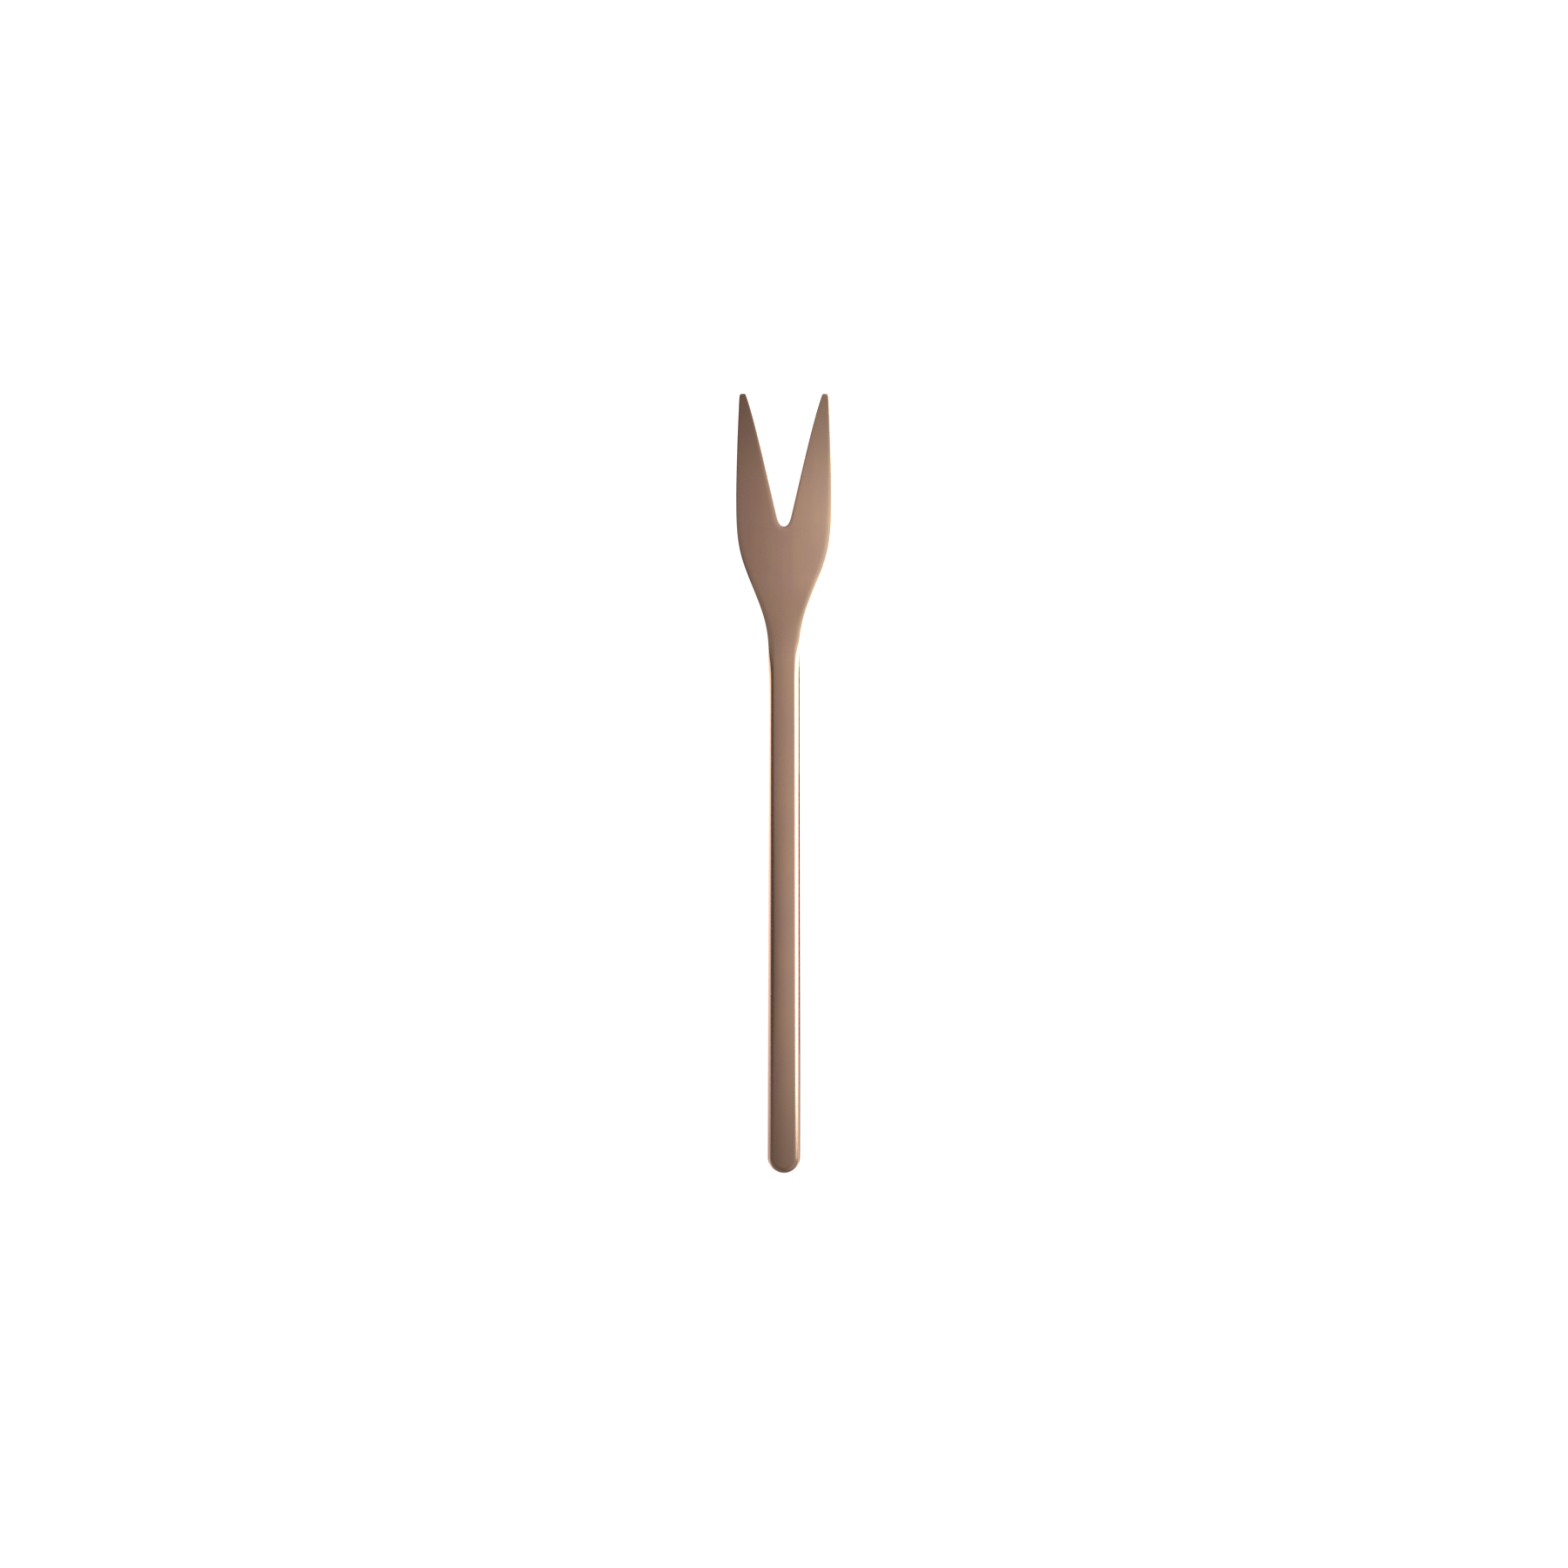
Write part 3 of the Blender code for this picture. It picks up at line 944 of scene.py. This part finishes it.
@dataclass
class HandleShell:
    """One stamped half of the hollow handle.

    Its rows run round the outline, from one side of the mouth to the other, and stand closer
    together towards the mouth. Its columns run from the seam to the middle line.
    """

    sizes: ForkSizes
    half: ShellHalf
    finish: SatinBronze
    wall: float = 0.55 * MM
    side_rows: int = 110
    rows_towards_mouth: float = 1.4
    end_rows: int = 28
    roll_columns: int = 14
    face_columns: int = 12

    def _values(self) -> dict[str, float]:
        """Gather the sizes that the tree takes in.

        Returns:
            Each size, by its name on the tree.
        """
        sizes = self.sizes
        return {
            "Side": self.half.value,
            "Mouth station": sizes.handle_length - sizes.joint / 2.0,
            "Mouth half width": sizes.neck_width / 2.0,
            "End half width": sizes.end_width / 2.0,
            "Half thickness": sizes.handle_thickness / 2.0,
            "Edge roll": sizes.handle_roll,
            "Neck crown": sizes.neck_crown,
            "End crown": sizes.end_crown,
            "Seam gap": sizes.seam,
            "Square share": sizes.neck_upright,
            "Round stop": sizes.round_stop,
            "Square start": sizes.square_start,
            "Lift": sizes.handle_lift,
            "End bend length": sizes.end_bend_length,
            "Bend at rest": sizes.bend_at_rest,
            "Neck bend start": sizes.neck_bend_start,
            "Neck bend length": sizes.palm_start - sizes.neck_bend_start,
            "Middle of fork": sizes.length / 2.0,
        }

    def _tree(self, material: bpy.types.Material) -> tuple[bpy.types.NodeTree, dict[str, str]]:
        """Build the tree that lays the shell's outer skin.

        Args:
            material: The finish that the skin takes.

        Returns:
            The tree, and the identifier of each of its inputs by name.
        """
        tree = bpy.data.node_groups.new("stamped_handle_half", "GeometryNodeTree")
        tree.interface.new_socket("Geometry", in_out="OUTPUT", socket_type="NodeSocketGeometry")
        names = {}
        for name in self._values():
            made = tree.interface.new_socket(name, in_out="INPUT", socket_type="NodeSocketFloat")
            names[name] = made.identifier
        graph = Graph(tree)
        entry = graph.node("NodeGroupInput")
        size = {name: Signal(graph, entry.outputs[name]) for name in names}
        rows = 2 * (self.side_rows + self.end_rows) + 1
        columns = self.roll_columns + self.face_columns + 1
        grid = graph.node(
            "GeometryNodeMeshGrid",
            inputs={0: 1.0, 1: 1.0, "Vertices X": rows, "Vertices Y": columns},
        )
        round_share = self.end_rows / (rows - 1)
        roll_share = self.roll_columns / (columns - 1)
        place, wear = self._skin(graph, size, round_share, roll_share)
        marked = graph.signal(
            "GeometryNodeStoreNamedAttribute",
            {"data_type": "FLOAT", "domain": "POINT"},
            {0: Signal(graph, grid.outputs["Mesh"]), "Name": EDGE_ATTRIBUTE, "Value": wear},
        )
        laid = graph.signal("GeometryNodeSetPosition", inputs={0: marked, "Position": place})
        welded = graph.signal("GeometryNodeMergeByDistance", inputs={0: laid, "Distance": WELD})
        realized = graph.signal("GeometryNodeRealizeInstances", inputs={0: welded})
        inputs = {0: realized, "Material": material}
        dressed = graph.signal("GeometryNodeSetMaterial", inputs=inputs)
        graph.node("NodeGroupOutput", inputs={0: dressed})
        return tree, names

    def _skin(
        self, graph: Graph, size: dict[str, Signal], round_share: float, roll_share: float
    ) -> tuple[Signal, Signal]:
        """Lay the skin: rows run round the outline, columns from the seam to the middle line.

        Args:
            graph: The tree to add to.
            size: The tree's inputs.
            round_share: The share of the rows on one half of the round end.
            roll_share: The share of the columns on the rolled edge.

        Returns:
            Each point's place, and its wear as an edge.
        """
        across, down, _ = graph.split(graph.signal("GeometryNodeInputPosition"))
        column = down + 0.5
        away = abs(across)
        left = graph.clamp(1.0 - (away - round_share) / (0.5 - round_share))
        along = 1.0 - left**self.rows_towards_mouth
        turn = graph.math("MINIMUM", graph.math("MAXIMUM", across / round_share, -1.0), 1.0)
        angle = turn * (math.pi / 2.0)
        station = size["End half width"] + (size["Mouth station"] - size["End half width"]) * along
        taper = size["Mouth half width"] - size["End half width"]
        half_width = size["End half width"] + taper * along
        edge_x = graph.math("SINE", angle) * half_width
        edge_station = station - graph.math("COSINE", angle) * size["End half width"]

        roll = graph.clamp(column / roll_share)
        roll_angle = roll * (math.pi / 2.0)
        flat = graph.math("COSINE", roll_angle)
        upright = self._upright(graph, size, edge_station)
        steep = upright + (1.0 - upright) * graph.math("SINE", roll_angle)
        steep = steep * graph.math("GREATER_THAN", roll, 0.001)
        face = graph.clamp((column - roll_share) / (1.0 - roll_share))
        inset = size["Edge roll"] * (1.0 - flat) + (half_width - size["Edge roll"]) * face
        share = inset / half_width
        x = edge_x * (1.0 - share)
        at = edge_station + (station - edge_station) * share

        fall = size["End crown"] + (size["Neck crown"] - size["End crown"]) * along
        crown = fall / size["Half thickness"] * (x / half_width) ** 2.0
        rise = size["Half thickness"] * (1.0 - crown) * steep
        rise = graph.math("MAXIMUM", rise, size["Seam gap"] / 2.0)
        height = self._middle(graph, size, at) + size["Side"] * rise
        wear = (1.0 - roll) ** 0.5
        return graph.join(x, at - size["Middle of fork"], height), wear

    @staticmethod
    def _upright(graph: Graph, size: dict[str, Signal], station: Signal) -> Signal:
        """Find how square the edge is, as the head's sizes have it.

        Args:
            graph: The tree to add to.
            size: The tree's inputs.
            station: The place along the fork.

        Returns:
            The share of the edge's height that stands upright.
        """
        length = size["Square start"] - size["Round stop"]
        share = graph.clamp((station - size["Round stop"]) / length)
        return size["Square share"] * share * share * (3.0 - 2.0 * share)

    @staticmethod
    def _middle(graph: Graph, size: dict[str, Signal], station: Signal) -> Signal:
        """Find how high the seam is.

        Args:
            graph: The tree to add to.
            size: The tree's inputs.
            station: The place along the fork.

        Returns:
            The height over the table, halfway through the handle.
        """
        bend = graph.clamp(1.0 - station / size["End bend length"]) / size["Bend at rest"]
        neck = graph.clamp((station - size["Neck bend start"]) / size["Neck bend length"])
        eased = neck * neck * (3.0 - 2.0 * neck)
        return size["Lift"] * (1.0 - eased - bend**3.0) + size["Half thickness"]

    def build(self) -> bpy.types.Object:
        """Build this half of the handle and dress it.

        Returns:
            The finished piece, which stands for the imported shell.
        """
        name = f"handle_half_{self.half.name.lower()}"
        material = self.finish.material()
        skin = new_object(name + "_skin", bpy.data.meshes.new(name + "_skin"))
        tree, names = self._tree(material)
        modifier = skin.modifiers.new("skin", "NODES")
        modifier.node_group = tree
        for label, value in self._values().items():
            modifier[names[label]] = value
        shell = baked(name, skin)
        turn_outwards(shell.data, self.half.value)
        wall = shell.modifiers.new("wall", "SOLIDIFY")
        wall.thickness = self.wall
        wall.offset = -1.0
        wall.use_even_offset = True
        shell = baked(name, shell)
        smooth(shell.data, SHARP_ANGLE)
        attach(shell, "root")
        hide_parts(f"handle_shell_{self.half.name.lower()}")
        report(shell)
        return shell


# ---------------------------------------------------------------------------------------------
# Mesh helpers
# ---------------------------------------------------------------------------------------------


def new_object(name: str, mesh: bpy.types.Mesh) -> bpy.types.Object:
    """Add an object for a mesh to the scene.

    Args:
        name: The object's name.
        mesh: Its mesh.

    Returns:
        The new object, at the origin.
    """
    made = bpy.data.objects.new(name, mesh)
    bpy.context.scene.collection.objects.link(made)
    return made


def baked(name: str, source: bpy.types.Object) -> bpy.types.Object:
    """Turn an object with modifiers into a plain mesh.

    Args:
        name: The new object's name.
        source: The object to evaluate, which is removed.

    Returns:
        A new object that holds the evaluated mesh.
    """
    bpy.context.view_layer.update()
    evaluated = source.evaluated_get(bpy.context.evaluated_depsgraph_get())
    mesh = bpy.data.meshes.new_from_object(evaluated)
    bpy.data.objects.remove(source, do_unlink=True)
    mesh.name = name
    return new_object(name, mesh)


def turn_outwards(mesh: bpy.types.Mesh, side: float) -> None:
    """Turn an open skin's faces outwards.

    Args:
        mesh: The skin.
        side: 1 if outwards is mostly up, -1 if it is mostly down.
    """
    built = bmesh.new()
    built.from_mesh(mesh)
    bmesh.ops.recalc_face_normals(built, faces=built.faces)
    total = sum(face.normal.z * face.calc_area() for face in built.faces)
    if total * side < 0.0:
        bmesh.ops.reverse_faces(built, faces=built.faces)
    built.to_mesh(mesh)
    built.free()


def smooth(mesh: bpy.types.Mesh, sharp_angle: float) -> None:
    """Shade a mesh smooth, apart from edges sharper than an angle in degrees."""
    mesh.shade_smooth()
    mesh.set_sharp_from_angle(angle=math.radians(sharp_angle))


def report(piece: bpy.types.Object) -> None:
    """Log a finished piece's name and size."""
    mesh = piece.data
    LOG.info("%s: %d faces, %d points", piece.name, len(mesh.polygons), len(mesh.vertices))


# ---------------------------------------------------------------------------------------------
# Studio
# ---------------------------------------------------------------------------------------------


@dataclass(frozen=True)
class Softbox:
    """A rectangular light that faces the fork, with its place, its length and its height."""

    name: str
    place: tuple[float, float, float]
    size: tuple[float, float]
    radiance: float
    colour: Colour = (1.0, 1.0, 1.0)

    def build(self) -> bpy.types.Object:
        """Hang the light and turn it to the origin.

        Returns:
            The light, with its long side level. The camera doesn't see it.
        """
        data = bpy.data.lights.new(self.name, "AREA")
        data.shape = "RECTANGLE"
        data.size, data.size_y = self.size
        data.energy = self.radiance * math.pi * self.size[0] * self.size[1]
        data.color = self.colour
        light = bpy.data.objects.new(self.name, data)
        bpy.context.scene.collection.objects.link(light)
        away = Vector(self.place).normalized()
        level = Vector((0.0, 1.0, 0.0)).cross(away).normalized()
        turn = Matrix((level, away.cross(level), away)).transposed().to_4x4()
        light.matrix_world = Matrix.Translation(self.place) @ turn
        light.visible_camera = False
        return light


@dataclass(frozen=True)
class GlowCard:
    """A level card, on the table or high over it, that only the metal sees.

    Its four sides are places in the frame, and its radiance changes evenly from near to far y.
    """

    name: str
    near_x: float
    far_x: float
    near_y: float
    far_y: float
    radiance_near_y: float
    radiance_far_y: float
    height: float = 0.05 * MM

    def build(self) -> bpy.types.Object:
        """Lay the card and light it up.

        Returns:
            The card, hidden from the camera and from the table.
        """
        xs, ys = (self.near_x, self.far_x), (self.near_y, self.far_y)
        corners = [(xs[0], ys[0]), (xs[1], ys[0]), (xs[1], ys[1]), (xs[0], ys[1])]
        mesh = bpy.data.meshes.new(self.name)
        mesh.from_pydata([(x, y, self.height) for x, y in corners], [], [(0, 1, 2, 3)])
        card = new_object(self.name, mesh)
        material, graph, shader, place = new_material(self.name + "_glow")
        _, y, _ = graph.split(place)
        share = graph.clamp((y - self.near_y) / (self.far_y - self.near_y))
        brightest = max(self.radiance_near_y, self.radiance_far_y)
        glow = self.radiance_near_y + share * (self.radiance_far_y - self.radiance_near_y)
        level = glow / brightest
        graph.link(graph.join(level, level, level), shader.inputs["Emission Color"])
        shader.inputs["Emission Strength"].default_value = brightest
        shader.inputs["Base Color"].default_value = (0.0, 0.0, 0.0, 1.0)
        shader.inputs["Specular IOR Level"].default_value = 0.0
        mesh.materials.append(material)
        card.visible_camera = False
        card.visible_diffuse = False
        card.visible_shadow = False
        return card


@dataclass
class Studio:
    """A pale table, soft lights, and a camera that looks straight down.

    Each of the dome's stops has a direction's lean towards +X, from -1 to 1, then the radiance
    there, and how much more green and blue there is than red.
    """

    view_width: float = 0.3017
    lens: float = 100.0
    sensor: float = 36.0
    fork_height: float = 0.003
    floor_size: float = 6.0
    floor_colour: Colour = (0.86, 0.86, 0.86)
    floor_glow: float = 0.80
    floor_drop: float = 0.03 * MM
    pale_room: float = 1.0
    room_on_floor: float = 0.5
    dome_scale: float = 2.0
    dome_fall: float = 2.0
    dome_twist: float = 3.6
    dome_rise: float = 0.30
    dome_far_share: float = 0.32
    dome_least: float = 0.08
    dome_least_gain: float = 0.8
    dome_least_reach: float = 0.20
    dome: tuple[tuple[float, float, float], ...] = (
        (-1.0, 0.08, 0.0),
        (-0.66, 0.10, 0.0),
        (-0.54, 0.34, 0.0),
        (-0.38, 0.44, 0.0),
        (-0.22, 0.46, 0.0),
        (-0.12, 0.55, 0.0),
        (0.0, 0.81, 0.0),
        (0.10, 0.86, 0.02),
        (0.20, 0.92, 0.06),
        (0.30, 1.10, 0.12),
        (0.45, 1.45, 0.20),
        (0.60, 1.60, 0.20),
        (1.0, 1.60, 0.20),
    )
    lights: tuple[Softbox, ...] = (
        Softbox("right_strip", (0.85, 0.02, 0.36), (0.70, 0.54), 5.0, (0.94, 1.0, 1.0)),
    )
    cards: tuple[GlowCard, ...] = (
        GlowCard("high_left_flag", -0.140, -0.036, -0.060, -0.012, 0.06, 0.06, 0.2),
        GlowCard("high_neck_fill", -0.500, -0.120, 0.045, 0.200, 0.38, 0.38, 0.2),
        GlowCard("left_reflector", -0.030, -0.0034, -0.074, 0.0165, 0.8, 2.8),
        GlowCard("left_reflector_fade", -0.030, -0.0034, 0.0165, 0.0275, 2.8, 1.1),
        # The three right cards are painted shadow: dark sheets on the table along the handle's
        # right edge that only the metal sees. They stand in for the handle's contact shadow in its
        # reflection, and the last one fades from bright at the handle's end to dark.
        GlowCard("right_painted_shadow_middle", 0.0090, 0.0106, -0.052, 0.002, 0.03, 0.03, 0.06 * MM),
        GlowCard("right_painted_shadow", 0.0034, 0.0092, -0.052, 0.026, 0.03, 0.03),
        GlowCard("right_painted_shadow_fade", 0.0034, 0.0092, -0.074, -0.052, 0.9, 0.05),
        GlowCard("right_reflector", 0.0092, 0.150, -0.074, 0.026, 1.3, 3.6),
        GlowCard("end_flag", -0.005, 0.005, -0.400, -0.0765, 0.22, 0.22),
        GlowCard("end_flag_left", -0.300, -0.005, -0.400, -0.0765, 0.34, 0.34),
        GlowCard("end_flag_right", 0.005, 0.300, -0.400, -0.0765, 0.42, 0.42),
    )

    def build(self) -> None:
        """Set up the table, the lights and the camera."""
        self._floor()
        self._room()
        for light in self.lights:
            light.build()
        for card in self.cards:
            card.build()
        self._camera()

    def _floor(self) -> None:
        """Lay the table."""
        built = bmesh.new()
        bmesh.ops.create_grid(built, x_segments=1, y_segments=1, size=self.floor_size / 2.0)
        mesh = bpy.data.meshes.new("table")
        built.to_mesh(mesh)
        built.free()
        floor = new_object("table", mesh)
        floor.location.z = -self.floor_drop
        material, _, shader, _ = new_material("pale_table")
        shader.inputs["Base Color"].default_value = (*self.floor_colour, 1.0)
        shader.inputs["Roughness"].default_value = 0.9
        shader.inputs["Specular IOR Level"].default_value = 0.0
        shader.inputs["Emission Color"].default_value = (1.0, 1.0, 1.0, 1.0)
        shader.inputs["Emission Strength"].default_value = self.floor_glow
        mesh.materials.append(material)

    def _room(self) -> None:
        """Give the room a pale look, and a soft dome that the metal reflects.

        The dome brightens towards +X and dims towards -Y.
        """
        world = bpy.data.worlds.new("studio_room")
        world.use_nodes = True
        bpy.context.scene.world = world
        graph = Graph(world.node_tree)
        lean_x, lean_y, _ = graph.split(graph.signal("ShaderNodeTexCoord", output="Generated"))
        stops = []
        for lean, level, cool in self.dome:
            parts = (1.0, 1.0 + cool, 1.0 + cool)
            colour = tuple(level * part / self.dome_scale for part in parts)
            stops.append(((lean + 1.0) / 2.0, colour))
        across = graph.signal("ShaderNodeValToRGB", {"stops": stops}, {"Fac": (lean_x + 1.0) / 2.0})
        fall = self.dome_fall + graph.math("MAXIMUM", lean_x, 0.0) * self.dome_twist
        near = graph.math("EXPONENT", graph.math("MINIMUM", lean_y, 0.0) * fall)
        near = graph.math("MAXIMUM", near, self.dome_far_share)
        far = 1.0 - graph.math("MAXIMUM", lean_y, 0.0) * self.dome_rise
        behind = graph.math("MAXIMUM", -lean_y, 0.0)
        least = graph.math("MINIMUM", behind, self.dome_least_reach) * self.dome_least_gain
        level = near * far * self.dome_scale
        dim = graph.join(*(least + self.dome_least,) * 3)
        dome = graph.vector("SCALE", across, Scale=level)
        dome = graph.vector("MAXIMUM", dome, dim)
        path = graph.node("ShaderNodeLightPath")
        mirrored = Signal(graph, path.outputs["Is Glossy Ray"])
        seen = Signal(graph, path.outputs["Is Camera Ray"])
        plain = self.room_on_floor + seen * (self.pale_room - self.room_on_floor)
        shown = mixed_colour(graph, mirrored, graph.join(plain, plain, plain), dome)
        background = world.node_tree.nodes["Background"]
        background.inputs["Strength"].default_value = 1.0
        graph.link(shown, background.inputs["Color"])

    def _camera(self) -> None:
        """Hang the camera over the middle of the fork, with the tines at the top of the view."""
        data = bpy.data.cameras.new("overhead_camera")
        data.lens = self.lens
        data.sensor_width = self.sensor
        camera = bpy.data.objects.new("overhead_camera", data)
        bpy.context.scene.collection.objects.link(camera)
        distance = self.view_width * self.lens / self.sensor
        camera.location = (0.0, 0.0, distance + self.fork_height)
        bpy.context.scene.camera = camera


def main() -> None:
    """Build the fork's pieces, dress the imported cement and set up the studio."""
    logging.basicConfig(level=logging.INFO, format="%(name)s: %(message)s")
    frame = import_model()
    sizes = ForkSizes()
    ForkHead(sizes, SatinBronze("satin_bronze_on_head")).build()
    for half in ShellHalf:
        HandleShell(sizes, half, SatinBronze(f"satin_bronze_on_{half.name.lower()}")).build()
    filler = frame["nodes"]["handle_filler"]
    filler.material_slots[0].material = SetCement().material()
    Studio().build()
    bpy.context.scene.view_settings.view_transform = "Standard"


if __name__ == "__main__":
    main()
